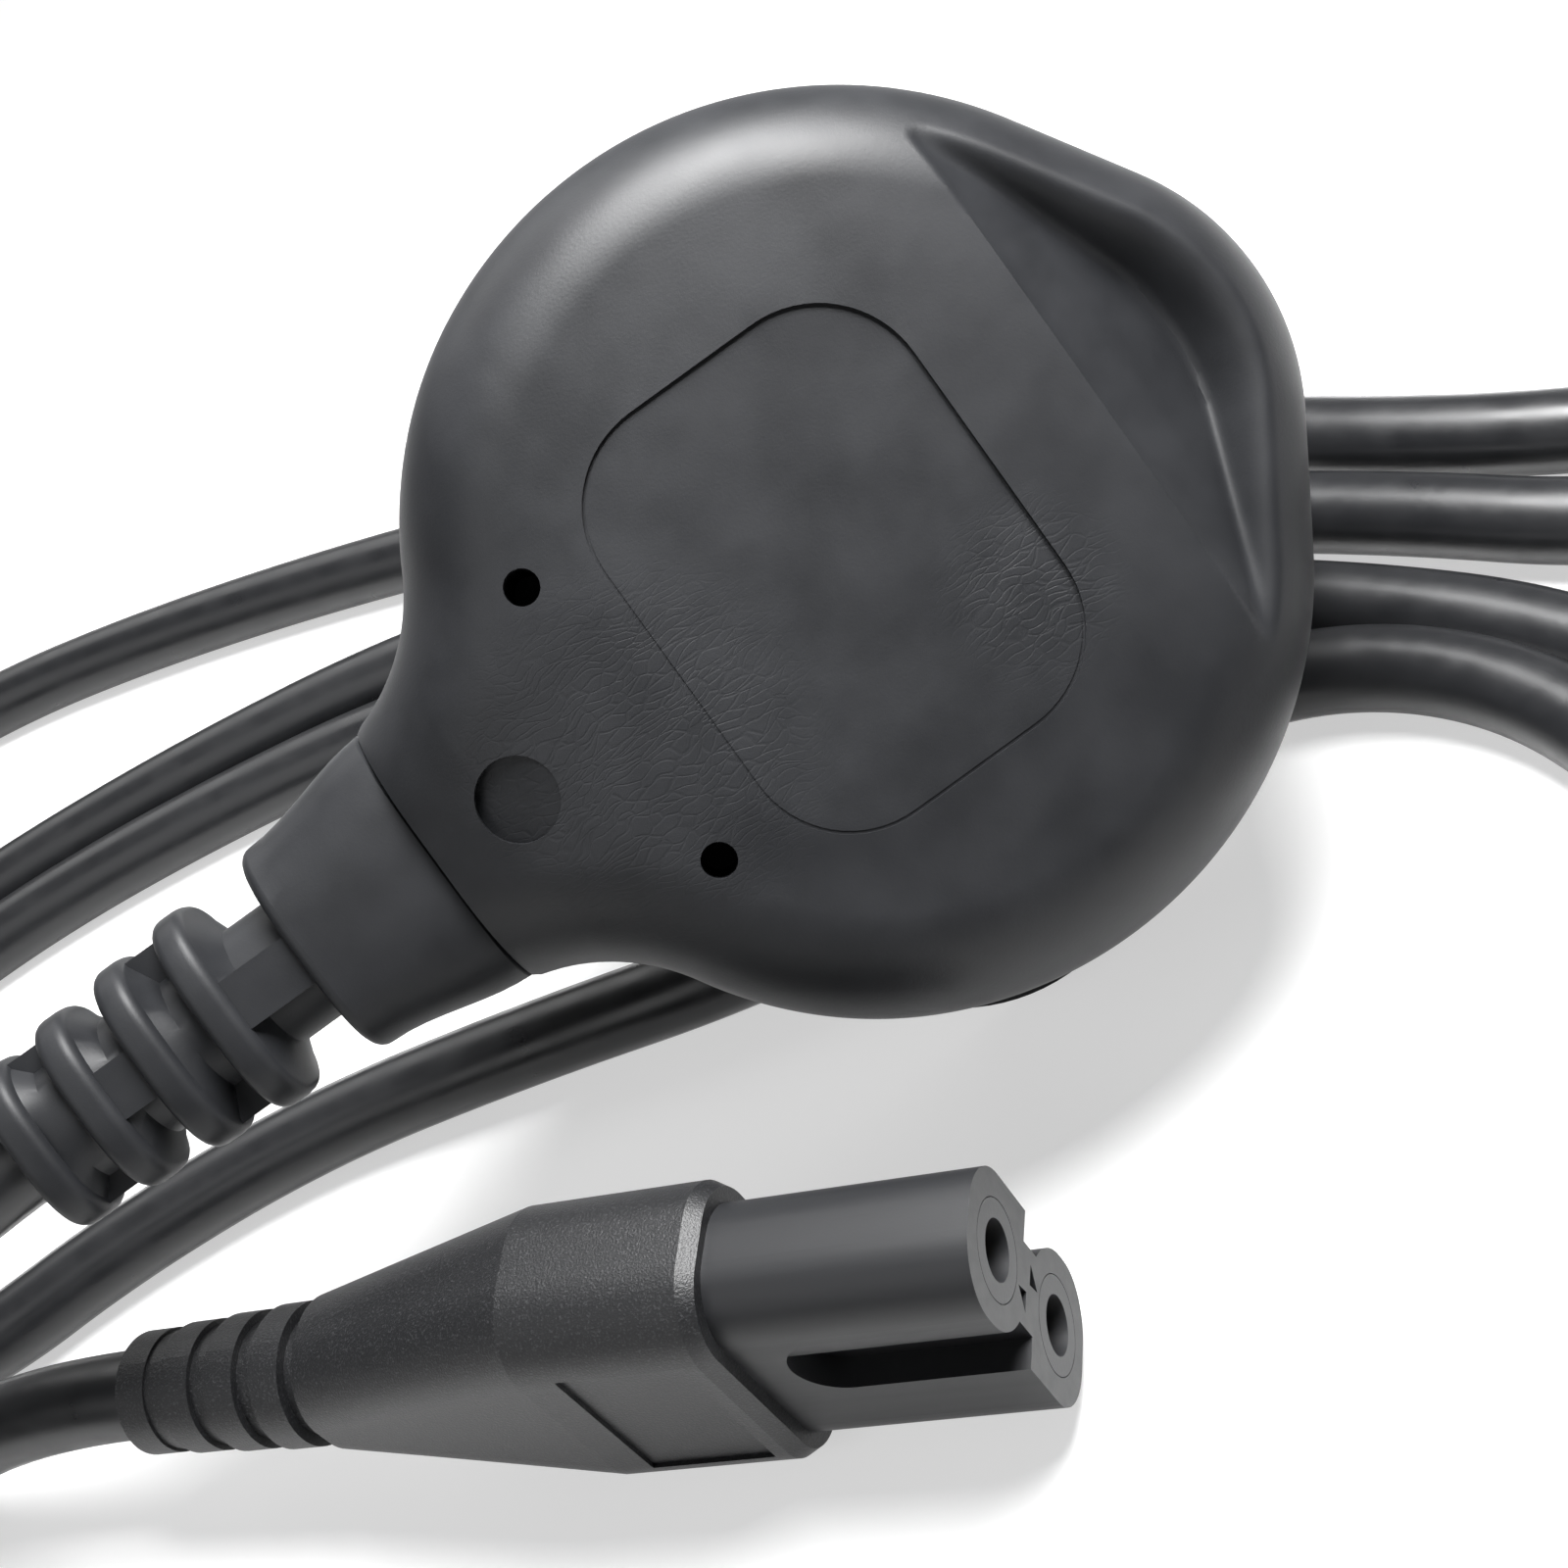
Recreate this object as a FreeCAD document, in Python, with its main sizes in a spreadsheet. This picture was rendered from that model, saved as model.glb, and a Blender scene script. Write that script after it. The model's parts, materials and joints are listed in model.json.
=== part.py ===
import FreeCAD, Part

import math
import os

from FreeCAD import Placement, Rotation, Vector

# A mains lead: fused three pin plug, two core cord and a figure eight appliance connector.
# Millimetres. The plug's own frame has X along its axis to the earth end, Z out of its cover
# and its origin on the pin face between the line and neutral pins.
SIZES = {
    "cover_height": 23.0,
    "cover_fillet": 6.5,
    "cover_wall": 3.5,
    "cavity_top": 14.0,
    "cavity_back": 15.5,
    "scoop_edge": 25.6,
    "scoop_rim": 2.8,
    "scoop_deep": 4.2,
    "scoop_round": 1.1,
    "cover_tip": 35.6,
    "cover_half": 26.0,
    "side_radius": 24.4,
    "tip_radius": 16.0,
    "hollow_radius": 11.0,
    "seam_half": 8.8,
    "seam_back": 20.2,
    "seam_slope": 13.5,
    "neck_start": -2.0,
    "neck_fall": 6.0,
    "base_thick": 4.0,
    "lobe_radius": 12.0,
    "lobe_reach": 28.0,
    "lobe_place": 5.5,
    "pin_pitch": 22.2,
    "earth_pitch": 22.23,
    "pin_wide": 6.35,
    "pin_thick": 4.0,
    "pin_long": 17.7,
    "pin_inside": 8.0,
    "pin_chamfer": 1.0,
    "sleeve_long": 9.3,
    "sleeve_wall": 0.5,
    "earth_wide": 8.0,
    "earth_long": 22.7,
    "earth_inside": 6.0,
    "fit": 0.05,
    "carrier_long": 29.0,
    "carrier_wide": 9.2,
    "carrier_deep": 6.6,
    "carrier_centre": 1.4,
    "carrier_gap": 0.15,
    "fuse_long": 25.4,
    "fuse_dia": 6.35,
    "fuse_height": 7.4,
    "fuse_cap_long": 6.0,
    "clip_thick": 0.6,
    "clip_long": 4.4,
    "core_dia": 2.4,
    "core_pitch": 2.8,
    "cord_dia": 5.6,
    "neck_height": 9.0,
    "neck_back": 30.0,
    "relief_back": 50.0,
    "relief_rings": 5.0,
    "ring_thick": 2.0,
    "nose_wide": 16.4,
    "nose_thick": 8.2,
    "nose_long": 15.0,
    "nose_corner": 3.3,
    "bore_pitch": 8.6,
    "bore_dia": 3.3,
    "bore_deep": 13.0,
    "liner_dia": 5.4,
    "channel_long": 12.5,
    "channel_step": 0.9,
    "channel_floor": 2.3,
    "cord_lead": 12.0,
    "handle_wide": 18.6,
    "handle_thick": 10.8,
    "handle_flat": 12.0,
    "handle_taper": 17.0,
    "tail_wide": 9.4,
    "tail_long": 14.0,
    "tail_ribs": 4.0,
    "contact_wall": 0.35,
    "contact_inset": 1.6,
    "connector_turn": -32.7,
    "face_across": -7.2,
    "face_front": -42.2,
    "centre_across": -11.22,
    "centre_front": -11.77,
}

# The cord's route on the table, from the plug to the connector, in the frame of the whole part.
ROUTE = [
    (-77, -6, 19.5), (-90, -0.5, 10.6), (-101, 9, 4.6), (-108, 22, 2.9),
    (-111, 37, 2.8), (-109.5, 53, 2.8), (-102, 68, 2.8), (-90, 79.5, 2.8), (-75, 84.5, 2.8),
    (-58, 82.5, 2.8), (-39, 74, 2.8), (-18, 61.5, 2.8), (2, 47, 2.8), (20, 31, 2.8),
    (36, 13.5, 2.8), (49, -5, 2.8), (61.5, -17.6, 2.8), (75.1, -25.8, 2.8), (88.2, -37.3, 2.8),
    (92.3, -53.8, 2.8), (86, -69.5, 2.8), (71.6, -78.6, 2.8), (54.6, -77.3, 2.8),
    (41.6, -66.4, 2.8), (37.5, -51.5, 2.8), (38.6, -35, 2.8), (37.2, -22, 2.8),
    (29.3, -11.6, 2.8), (17.5, -7.9, 2.8), (3, -7.8, 2.8), (-11.5, -4.4, 2.8), (-27, 2, 2.8),
    (-43, 7.4, 2.8), (-59, 9.4, 2.8),
    (-72, 8.8, 2.8), (-84, 12.7, 2.8), (-91.5, 23, 2.8), (-91.5, 35.6, 2.8), (-84, 45.9, 2.8),
    (-72, 49.8, 2.8), (-58, 49.6, 2.8), (-42, 46.6, 2.8), (-25, 41.5, 2.8), (-7, 32, 2.8),
    (9, 19.5, 2.8), (23, 5, 2.8), (34, -9, 2.8), (42, -22.5, 2.8), (44.9, -36.5, 2.8),
    (44.4, -50.5, 2.8), (47.5, -62.7, 2.8), (57.2, -70.8, 2.8), (69.9, -71.7, 2.8),
    (80.6, -65, 2.8), (85.3, -53.2, 2.8), (82.3, -41, 2.8), (72.6, -32.9, 2.8),
    (59.5, -26.6, 2.8), (49, -17.5, 2.8), (40.5, -4.5, 2.8), (28.5, 10.5, 2.8), (13, 26, 2.8),
    (-4, 38.5, 2.8), (-22.5, 48, 2.8), (-41, 53.2, 2.8), (-58, 56.2, 2.8), (-73, 56.8, 2.8),
    (-88, 51.6, 2.8), (-97.6, 38.5, 2.8), (-98.6, 23, 2.8), (-91, 9.6, 2.8), (-79, 1.2, 3.6),
]

doc = FreeCAD.newDocument("figure_eight_lead")
sheet = doc.addObject("Spreadsheet::Sheet", "sizes")
for row, (word, number) in enumerate(SIZES.items(), 1):
    sheet.set(f"A{row}", word)
    sheet.set(f"B{row}", str(number))
    sheet.setAlias(f"B{row}", word)
doc.recompute()

made = []


def size(word):
    return float(sheet.get(word))


def keep(item, label, place=None):
    """Gives a finished piece its own name and its place."""
    item.Label = label
    if place is not None:
        item.Placement = place
    made.append(item)
    return item


def body(name):
    return doc.addObject("PartDesign::Body", name)


def plane(owner, role):
    return [f for f in owner.Origin.OriginFeatures if f.Role == role][0]


def sketch(owner, name, role, shift=0.0, bound=None):
    """A sketch on one of its body's own planes, shifted along the plane's normal."""
    drawn = owner.newObject("Sketcher::SketchObject", name)
    drawn.AttachmentSupport = [(plane(owner, role), "")]
    drawn.MapMode = "FlatFace"
    drawn.AttachmentOffset = Placement(Vector(0, 0, shift), Rotation())
    if bound:
        drawn.setExpression("AttachmentOffset.Base.z", bound)
    return drawn


def chain(drawn, points):
    """Closes straight edges through the points."""
    corners = [Vector(x, y, 0) for x, y in points]
    for one, two in zip(corners, corners[1:] + corners[:1]):
        drawn.addGeometry(Part.LineSegment(one, two), False)


def rectangle(drawn, wide, high, across=0.0, up=0.0, wide_bound=None, high_bound=None):
    """A rectangle about a centre, its two sizes held by named constraints."""
    import Sketcher

    x0, x1, y0, y1 = across - wide / 2, across + wide / 2, up - high / 2, up + high / 2
    corners = [Vector(x0, y0, 0), Vector(x1, y0, 0), Vector(x1, y1, 0), Vector(x0, y1, 0)]
    first = drawn.GeometryCount
    for k in range(4):
        drawn.addGeometry(Part.LineSegment(corners[k], corners[(k + 1) % 4]), False)
    for k in range(4):
        drawn.addConstraint(Sketcher.Constraint("Coincident", first + k, 2, first + (k + 1) % 4, 1))
    for k in (0, 2):
        drawn.addConstraint(Sketcher.Constraint("Horizontal", first + k))
        drawn.addConstraint(Sketcher.Constraint("Vertical", first + k + 1))
    drawn.addConstraint(Sketcher.Constraint("DistanceX", -1, 1, first, 1, x0))
    drawn.addConstraint(Sketcher.Constraint("DistanceY", -1, 1, first, 1, y0))
    for word, start, end, value, bound in (
        ("DistanceX", (first, 1), (first, 2), wide, wide_bound),
        ("DistanceY", (first + 1, 1), (first + 1, 2), high, high_bound),
    ):
        at = drawn.addConstraint(Sketcher.Constraint(word, *start, *end, value))
        if bound:
            drawn.setExpression(f"Constraints[{at}]", bound)


def pad(owner, drawn, name, length, bound=None, back=False):
    solid = owner.newObject("PartDesign::Pad", name)
    solid.Profile = drawn
    solid.Length = length
    solid.Reversed = back
    if bound:
        solid.setExpression("Length", bound)
    doc.recompute()
    return solid


def pocket(owner, drawn, name, length, bound=None, back=False):
    """Cuts a pocket and makes sure that it takes material away."""
    before = owner.Shape.Volume
    cut = owner.newObject("PartDesign::Pocket", name)
    cut.Profile = drawn
    cut.Length = length
    cut.Reversed = back
    if bound:
        cut.setExpression("Length", bound)
    doc.recompute()
    if owner.Shape.Volume >= before - 1e-6:
        cut.Reversed = not back
        doc.recompute()
    return cut


def fillet(owner, base, name, edges, word):
    """Rounds the named edges by a size of the sheet."""
    made_round = owner.newObject("PartDesign::Fillet", name)
    made_round.Base = (base, edges)
    made_round.Radius = size(word)
    made_round.setExpression("Radius", "sizes." + word)
    doc.recompute()
    return made_round


def shaped(name, solid, place=None):
    """A piece whose form is a shape made from the sheet's sizes."""
    item = doc.addObject("Part::Feature", name)
    item.Shape = solid
    return keep(item, name, place)


def half_outline(grow, back):
    """One side of the plug's plan, from the neck to the tip, as edges."""
    tip, half, side = size("cover_tip") + grow, size("cover_half") + grow, size("side_radius") + grow
    nose = size("tip_radius") + grow
    slope = math.radians(size("seam_slope"))
    side_c = Vector(8.5, half - side, 0)
    nose_c = Vector(tip - nose, 0, 0)
    # the straight shoulder touches the tip circle and the side circle
    gap = nose_c - side_c
    reach = math.acos((side - nose) / gap.Length) + math.atan2(gap.y, gap.x)
    out = Vector(math.cos(reach), math.sin(reach), 0)
    side_end, nose_start = side_c + out * side, nose_c + out * nose
    # the neck's line and the hollow that joins it to the side
    widen = (size("seam_back") - back) * math.tan(slope)
    seam = Vector(-back, size("seam_half") + grow + widen, 0)
    along = Vector(math.cos(slope), math.sin(slope), 0)
    normal = Vector(-along.y, along.x, 0)
    hollow = size("hollow_radius") - grow
    from_line = (side_c - seam).dot(normal)
    across = math.sqrt((side + hollow) ** 2 - (hollow - from_line) ** 2)
    hollow_c = side_c + normal * (hollow - from_line) - along * across
    line_end = hollow_c - normal * hollow
    join = hollow_c + (side_c - hollow_c).normalize() * hollow
    middle = hollow_c + ((line_end - hollow_c) + (join - hollow_c)).normalize() * hollow
    side_mid = side_c + ((join - side_c).normalize() + out).normalize() * side
    return [
        Part.LineSegment(seam, line_end),
        Part.Arc(line_end, middle, join),
        Part.Arc(join, side_mid, side_end),
        Part.LineSegment(side_end, nose_start),
    ], (nose_start, Vector(tip, 0, 0), Vector(nose_start.x, -nose_start.y, 0)), seam


def plan(drawn, grow=0.0, back=None):
    """Adds the plug's whole plan to a sketch."""
    edges, nose, seam = half_outline(grow, back or size("seam_back"))
    for edge in edges:
        drawn.addGeometry(edge, False)
    drawn.addGeometry(Part.Arc(*nose), False)
    for edge in edges:
        drawn.addGeometry(mirrored(edge), False)
    drawn.addGeometry(Part.LineSegment(Vector(seam.x, -seam.y, 0), seam), False)


def mirrored(edge):
    def flip(point):
        return Vector(point.x, -point.y, 0)

    if isinstance(edge, Part.LineSegment):
        return Part.LineSegment(flip(edge.StartPoint), flip(edge.EndPoint))
    low, high = edge.FirstParameter, edge.LastParameter
    return Part.Arc(flip(edge.value(low)), flip(edge.value((low + high) / 2)), flip(edge.value(high)))


def box(x0, x1, y0, y1, z0, z1):
    return Part.makeBox(x1 - x0, y1 - y0, z1 - z0, Vector(x0, y0, z0))


def rod(start, end, dia):
    along = end - start
    return Part.makeCylinder(dia / 2, along.Length, start, along)


def oblong(wide, thick, corner, x):
    """A rounded rectangle in the plane across X, thick along Y and wide along Z."""
    a, b, r = thick / 2, wide / 2, min(corner, thick / 2 - 0.05, wide / 2 - 0.05)
    k = r * (1 - math.sqrt(0.5))
    spots = [
        (-a + r, -b), (a - r, -b), (a - k, -b + k), (a, -b + r), (a, b - r), (a - k, b - k),
        (a - r, b), (-a + r, b), (-a + k, b - k), (-a, b - r), (-a, -b + r), (-a + k, -b + k),
    ]
    p = [Vector(x, y, z) for y, z in spots]
    edges = [
        Part.LineSegment(p[0], p[1]), Part.Arc(p[1], p[2], p[3]), Part.LineSegment(p[3], p[4]),
        Part.Arc(p[4], p[5], p[6]), Part.LineSegment(p[6], p[7]), Part.Arc(p[7], p[8], p[9]),
        Part.LineSegment(p[9], p[10]), Part.Arc(p[10], p[11], p[0]),
    ]
    return Part.Wire([e.toShape() for e in edges])


def lofted(stations, ruled=False):
    return Part.makeLoft([oblong(*s) for s in stations], True, ruled)


def centred(point):
    """Moves a point so that the plug and the connector lie round the frame's origin."""
    return point - Vector(size("centre_across"), size("centre_front"), 0)


def plug_place():
    """The plug lies on the lobe of its base and on one pin, as it comes to rest."""
    apart = size("lobe_reach") - (size("pin_pitch") + size("pin_wide")) / 2
    lean = math.atan2(size("pin_long") - size("pin_chamfer"), apart)
    return Placement(
        centred(Vector(0, 0, size("lobe_reach") * math.sin(lean))),
        Rotation(Vector(1, 0, 0), math.degrees(lean)),
    )


def connector_place():
    """The connector lies on the narrow edge of its handle."""
    return Placement(
        centred(Vector(size("face_across"), size("face_front"), size("handle_wide") / 2)),
        Rotation(Vector(0, 0, 1), size("connector_turn")),
    )


def plug_cover():
    """The moulded cover: a spade shaped dome with a finger scoop at its earth end."""
    cover = body("cover_moulding")
    outline = sketch(cover, "cover_plan", "XY_Plane", size("base_thick"), "sizes.base_thick")
    plan(outline)
    dome = pad(cover, outline, "cover_dome", size("cover_height") - size("base_thick"),
               "sizes.cover_height - sizes.base_thick")
    top, back, start = size("cover_height"), -size("seam_back"), size("neck_start")
    rim = []
    for number, edge in enumerate(dome.Shape.Edges, 1):
        reach = edge.BoundBox
        if reach.ZMin > top - 0.5 and reach.XMax > back + 0.5:
            rim.append(f"Edge{number}")
    fillet(cover, dome, "cover_round", rim, "cover_fillet")
    slope = sketch(cover, "cover_slope", "XZ_Plane")
    fall, far = size("neck_fall"), back - 1
    bend = ((start - far) ** 2 + fall ** 2) / (2 * fall)
    half = 0.5 * math.asin((start - far) / bend)
    middle = Vector(start - bend * math.sin(half), top - bend * (1 - math.cos(half)), 0)
    ends = [Vector(far, top - fall, 0), Vector(start, top, 0), Vector(start, top + 5, 0), Vector(far, top + 5, 0)]
    slope.addGeometry(Part.Arc(ends[0], middle, ends[1]), False)
    for one, two in ((1, 2), (2, 3), (3, 0)):
        slope.addGeometry(Part.LineSegment(ends[one], ends[two]), False)
    slope_cut = pocket(cover, slope, "neck_slope", 4 * size("cover_half"))
    slope_cut.Midplane = True
    doc.recompute()
    label = sketch(cover, "label_plan", "XY_Plane", size("cover_height"), "sizes.cover_height")
    a, b, r = 10.5, 13.6, 6.0
    x = 6.6
    for edge in oblong(2 * b, 2 * a, r, 0).Edges:
        ends = [Vector(x + p.y, p.z, 0) for p in (
            edge.valueAt(edge.FirstParameter),
            edge.valueAt((edge.FirstParameter + edge.LastParameter) / 2),
            edge.valueAt(edge.LastParameter),
        )]
        straight = isinstance(edge.Curve, Part.Line)
        label.addGeometry(Part.LineSegment(ends[0], ends[2]) if straight else Part.Arc(*ends), False)
    pocket(cover, label, "label_panel", 0.25)
    spots = sketch(cover, "core_pins", "XY_Plane", size("cover_height"), "sizes.cover_height")
    for y in (-9.4, 9.4):
        spots.addGeometry(Part.Circle(Vector(-7, y, 0), Vector(0, 0, 1), 1.0), False)
    pocket(cover, spots, "core_pin_holes", 8.0)
    hollow = sketch(cover, "cover_hollow", "XY_Plane", size("base_thick"), "sizes.base_thick")
    plan(hollow, -size("cover_wall"), size("cavity_back"))
    pocket(cover, hollow, "cover_cavity", size("cavity_top") - size("base_thick"),
           "sizes.cavity_top - sizes.base_thick", back=True)
    tunnel = sketch(cover, "cord_way", "YZ_Plane", 0)
    radius = size("cord_dia") / 2 + size("fit")
    tunnel.addGeometry(Part.Circle(Vector(0, size("neck_height"), 0), Vector(0, 0, 1), radius), False)
    pocket(cover, tunnel, "cord_tunnel", size("seam_back") + 5)
    scoop = doc.addObject("Part::Feature", "finger_scoop")
    scoop.Shape = scoop_shape()
    scooped = doc.addObject("Part::Cut", "scooped_cover")
    scooped.Base, scooped.Tool = cover, scoop
    doc.recompute()
    return keep(scooped, "plug_cover", plug_place())


def scoop_shape():
    """The finger scoop's void: a half moon behind the rim, its floor falling to the tip."""
    edge, top, deep = size("scoop_edge"), size("cover_height"), size("scoop_deep")
    inner = size("tip_radius") - size("scoop_rim")
    middle = size("cover_tip") - size("tip_radius")
    reach = edge - middle
    half = math.sqrt(inner ** 2 - reach ** 2)
    ends = [Vector(edge, -half, 0), Vector(edge, half, 0)]
    moon = Part.Wire([
        Part.Arc(ends[0], Vector(middle + inner, 0, 0), ends[1]).toShape(),
        Part.LineSegment(ends[1], ends[0]).toShape(),
    ])
    moon.translate(Vector(0, 0, top - 2 * deep))
    column = Part.Face(moon).extrude(Vector(0, 0, 4 * deep))
    far = middle + inner
    side = [
        Vector(edge - 1, -20, top - 0.2), Vector(edge + 0.4, -20, top - 0.2), Vector(far + 1, -20, top - deep),
        Vector(far + 1, -20, top + 2 * deep), Vector(edge - 1, -20, top + 2 * deep),
    ]
    wedge = Part.Face(Part.makePolygon(side + side[:1])).extrude(Vector(0, 40, 0))
    void = column.common(wedge)
    low = [e for e in void.Edges if e.BoundBox.ZMin < top - 0.3 and e.BoundBox.ZMax < top + deep]
    return void.makeFillet(size("scoop_round"), low)


def pin_base():
    """The hard bridge that carries the pins; its two lobes stand out past the cover."""
    base = body("pin_base")
    outline = sketch(base, "base_plan", "XY_Plane")
    plan(outline)
    pad(base, outline, "base_plate", size("base_thick"), "sizes.base_thick")
    for side in (-1, 1):
        lobe = sketch(base, f"lobe_{side + 2}", "XY_Plane")
        middle = Vector(size("lobe_place"), side * (size("lobe_reach") - size("lobe_radius")), 0)
        lobe.addGeometry(Part.Circle(middle, Vector(0, 0, 1), size("lobe_radius")), False)
        pad(base, lobe, f"lobe_plate_{side + 2}", size("base_thick"), "sizes.base_thick")
    slots = sketch(base, "pin_slots", "XY_Plane")
    play = 2 * size("fit")
    for side in (-1, 1):
        rectangle(slots, size("pin_thick") + play, size("pin_wide") + play, 0, side * size("pin_pitch") / 2,
                  "sizes.pin_thick + 2 * sizes.fit", "sizes.pin_wide + 2 * sizes.fit")
    rectangle(slots, size("earth_wide") + play, size("pin_thick") + play, size("earth_pitch"), 0,
              "sizes.earth_wide + 2 * sizes.fit", "sizes.pin_thick + 2 * sizes.fit")
    gap = 2 * size("carrier_gap")
    rectangle(slots, size("carrier_long") + gap, size("carrier_wide") + gap, size("carrier_centre"), 0,
              "sizes.carrier_long + 2 * sizes.carrier_gap", "sizes.carrier_wide + 2 * sizes.carrier_gap")
    pocket(base, slots, "pin_slot_cut", size("base_thick") + 1, back=True)
    return keep(base, "pin_base", plug_place())


def power_pin(name, side):
    """A flat brass pin, necked in where its sleeve goes round it."""
    pin = body(name)
    section = sketch(pin, name + "_section", "XY_Plane", -size("pin_long"), "-sizes.pin_long")
    rectangle(section, size("pin_thick"), size("pin_wide"), 0, side * size("pin_pitch") / 2,
              "sizes.pin_thick", "sizes.pin_wide")
    blade = pad(pin, section, name + "_blade", size("pin_long") + size("pin_inside"),
                "sizes.pin_long + sizes.pin_inside")
    tip = pin.newObject("PartDesign::Chamfer", name + "_tip")
    low = [f"Edge{n}" for n, e in enumerate(blade.Shape.Edges, 1) if e.BoundBox.ZMax < -size("pin_long") + 0.01]
    tip.Base = (blade, low)
    tip.Size = size("pin_chamfer")
    tip.setExpression("Size", "sizes.pin_chamfer")
    doc.recompute()
    neck = sketch(pin, name + "_neck", "XY_Plane", -size("sleeve_long"), "-sizes.sleeve_long")
    wall = size("sleeve_wall")
    rectangle(neck, size("pin_thick") + 2, size("pin_wide") + 2, 0, side * size("pin_pitch") / 2)
    rectangle(neck, size("pin_thick") - 2 * wall, size("pin_wide") - 2 * wall, 0, side * size("pin_pitch") / 2)
    pocket(pin, neck, name + "_neck_cut", size("sleeve_long"), "sizes.sleeve_long", back=True)
    return keep(pin, name, plug_place())


def pin_sleeve(name, side):
    """The insulating sleeve at the root of a pin, flush with its blade."""
    sleeve = body(name)
    ring = sketch(sleeve, name + "_ring", "XY_Plane", -size("sleeve_long"), "-sizes.sleeve_long")
    wall = size("sleeve_wall") - 0.02
    middle = side * size("pin_pitch") / 2
    rectangle(ring, size("pin_thick"), size("pin_wide"), 0, middle)
    rectangle(ring, size("pin_thick") - 2 * wall, size("pin_wide") - 2 * wall, 0, middle)
    pad(sleeve, ring, name + "_tube", size("sleeve_long"), "sizes.sleeve_long")
    return keep(sleeve, name, plug_place())


def earth_pin():
    """The plastic pin that opens the socket's shutters."""
    pin = body("earth_pin")
    section = sketch(pin, "earth_section", "XY_Plane", -size("earth_long"), "-sizes.earth_long")
    rectangle(section, size("earth_wide"), size("pin_thick"), size("earth_pitch"), 0,
              "sizes.earth_wide", "sizes.pin_thick")
    blade = pad(pin, section, "earth_blade", size("earth_long") + size("earth_inside"),
                "sizes.earth_long + sizes.earth_inside")
    tip = pin.newObject("PartDesign::Chamfer", "earth_tip")
    low = [f"Edge{n}" for n, e in enumerate(blade.Shape.Edges, 1) if e.BoundBox.ZMax < -size("earth_long") + 0.01]
    tip.Base = (blade, low)
    tip.Size = size("pin_chamfer")
    tip.setExpression("Size", "sizes.pin_chamfer")
    doc.recompute()
    return keep(pin, "earth_pin", plug_place())


def fuse_carrier():
    """The carrier that pulls out of the pin face with the fuse lying in it."""
    long, wide, deep = size("carrier_long"), size("carrier_wide"), size("carrier_deep")
    x0, height = size("carrier_centre") - long / 2, size("fuse_height")
    block = box(x0, x0 + long, -wide / 2, wide / 2, 0, deep)
    trough = rod(Vector(x0 + 1.75, 0, height), Vector(x0 + long - 1.75, 0, height), size("fuse_dia") + 0.1)
    cap = size("fuse_cap_long") + 2.0
    tray = block.cut(trough)
    for start in (x0 - 1 + 2.6, x0 + long - 1.6 - cap + 0.0):
        tray = tray.cut(box(start, start + cap, -wide, wide, 2.6, deep + 1))
    notch = box(x0 - 1, x0 + 1.4, -2.0, 2.0, -1, 1.0)
    shaped("fuse_carrier", tray.cut(notch).removeSplitter(), plug_place())


def fuse():
    """A cartridge fuse: a ceramic tube with a brass cap on each end."""
    long, dia, cap = size("fuse_long"), size("fuse_dia"), size("fuse_cap_long")
    x0, height = size("carrier_centre") - long / 2, size("fuse_height")
    for name, start, inner in (("fuse_cap_cord", x0, x0 + 0.4), ("fuse_cap_earth", x0 + long - cap, x0 + long - cap - 1)):
        shell = rod(Vector(start, 0, height), Vector(start + cap, 0, height), dia)
        bore = rod(Vector(inner, 0, height), Vector(inner + cap + 0.6, 0, height), dia - 0.6)
        shaped(name, shell.cut(bore), plug_place())
    tube = rod(Vector(x0 + 0.4, 0, height), Vector(x0 + long - 0.4, 0, height), dia - 0.64)
    core = rod(Vector(x0, 0, height), Vector(x0 + long, 0, height), dia - 2.8)
    shaped("fuse_tube", tube.cut(core), plug_place())


def fuse_clip(name, middle):
    """A sprung brass clip that grips one cap of the fuse from above."""
    height, inner = size("fuse_height"), size("fuse_dia") / 2 + 0.08
    outer, half = inner + size("clip_thick"), size("clip_long") / 2
    ring = rod(Vector(middle - half, 0, height), Vector(middle + half, 0, height), 2 * outer)
    bore = rod(Vector(middle - half - 1, 0, height), Vector(middle + half + 1, 0, height), 2 * inner)
    legs = box(middle - half, middle + half, -outer, outer, height - 2.6, height)
    slot = box(middle - half - 1, middle + half + 1, -inner, inner, height - 4, height)
    clip = ring.fuse(legs).cut(bore).cut(slot)
    clip = clip.cut(box(middle - 9, middle + 9, -9, 9, -1, height - 2.6))
    shaped(name, clip.removeSplitter(), plug_place())


def wiring():
    """The two cores from the cord's end to the clip and to the neutral pin."""
    across, up, dia = size("core_pitch") / 2, size("neck_height"), size("core_dia")
    start = -16.0
    for name, side, end in (("plug_line_core", -1, -12.9), ("plug_neutral_core", 1, -2.05)):
        y = side * across
        if side < 0:
            shape = rod(Vector(start, y, up), Vector(end, y, up), dia)
        else:
            across_pin = size("pin_pitch") / 2 - 1.5
            low = size("pin_inside") - 1.5
            bends = [Vector(-14.7, y, up), Vector(-11.8, 6.3, up - 0.4), Vector(-4.5, across_pin, low)]
            shape = rod(Vector(start, y, up), bends[0], dia)
            for one, two in zip(bends, bends[1:]):
                shape = shape.fuse(Part.makeSphere(dia / 2, one)).fuse(rod(one, two, dia))
            shape = shape.fuse(Part.makeSphere(dia / 2, bends[-1]))
            shape = shape.fuse(rod(bends[-1], Vector(end, across_pin, low), dia))
        shaped(name, shape.removeSplitter(), plug_place())
    end = size("relief_back")
    sheath = rod(Vector(-end, 0, up), Vector(start, 0, up), size("cord_dia"))
    shaped("plug_cord_end", sheath, plug_place())


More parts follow.
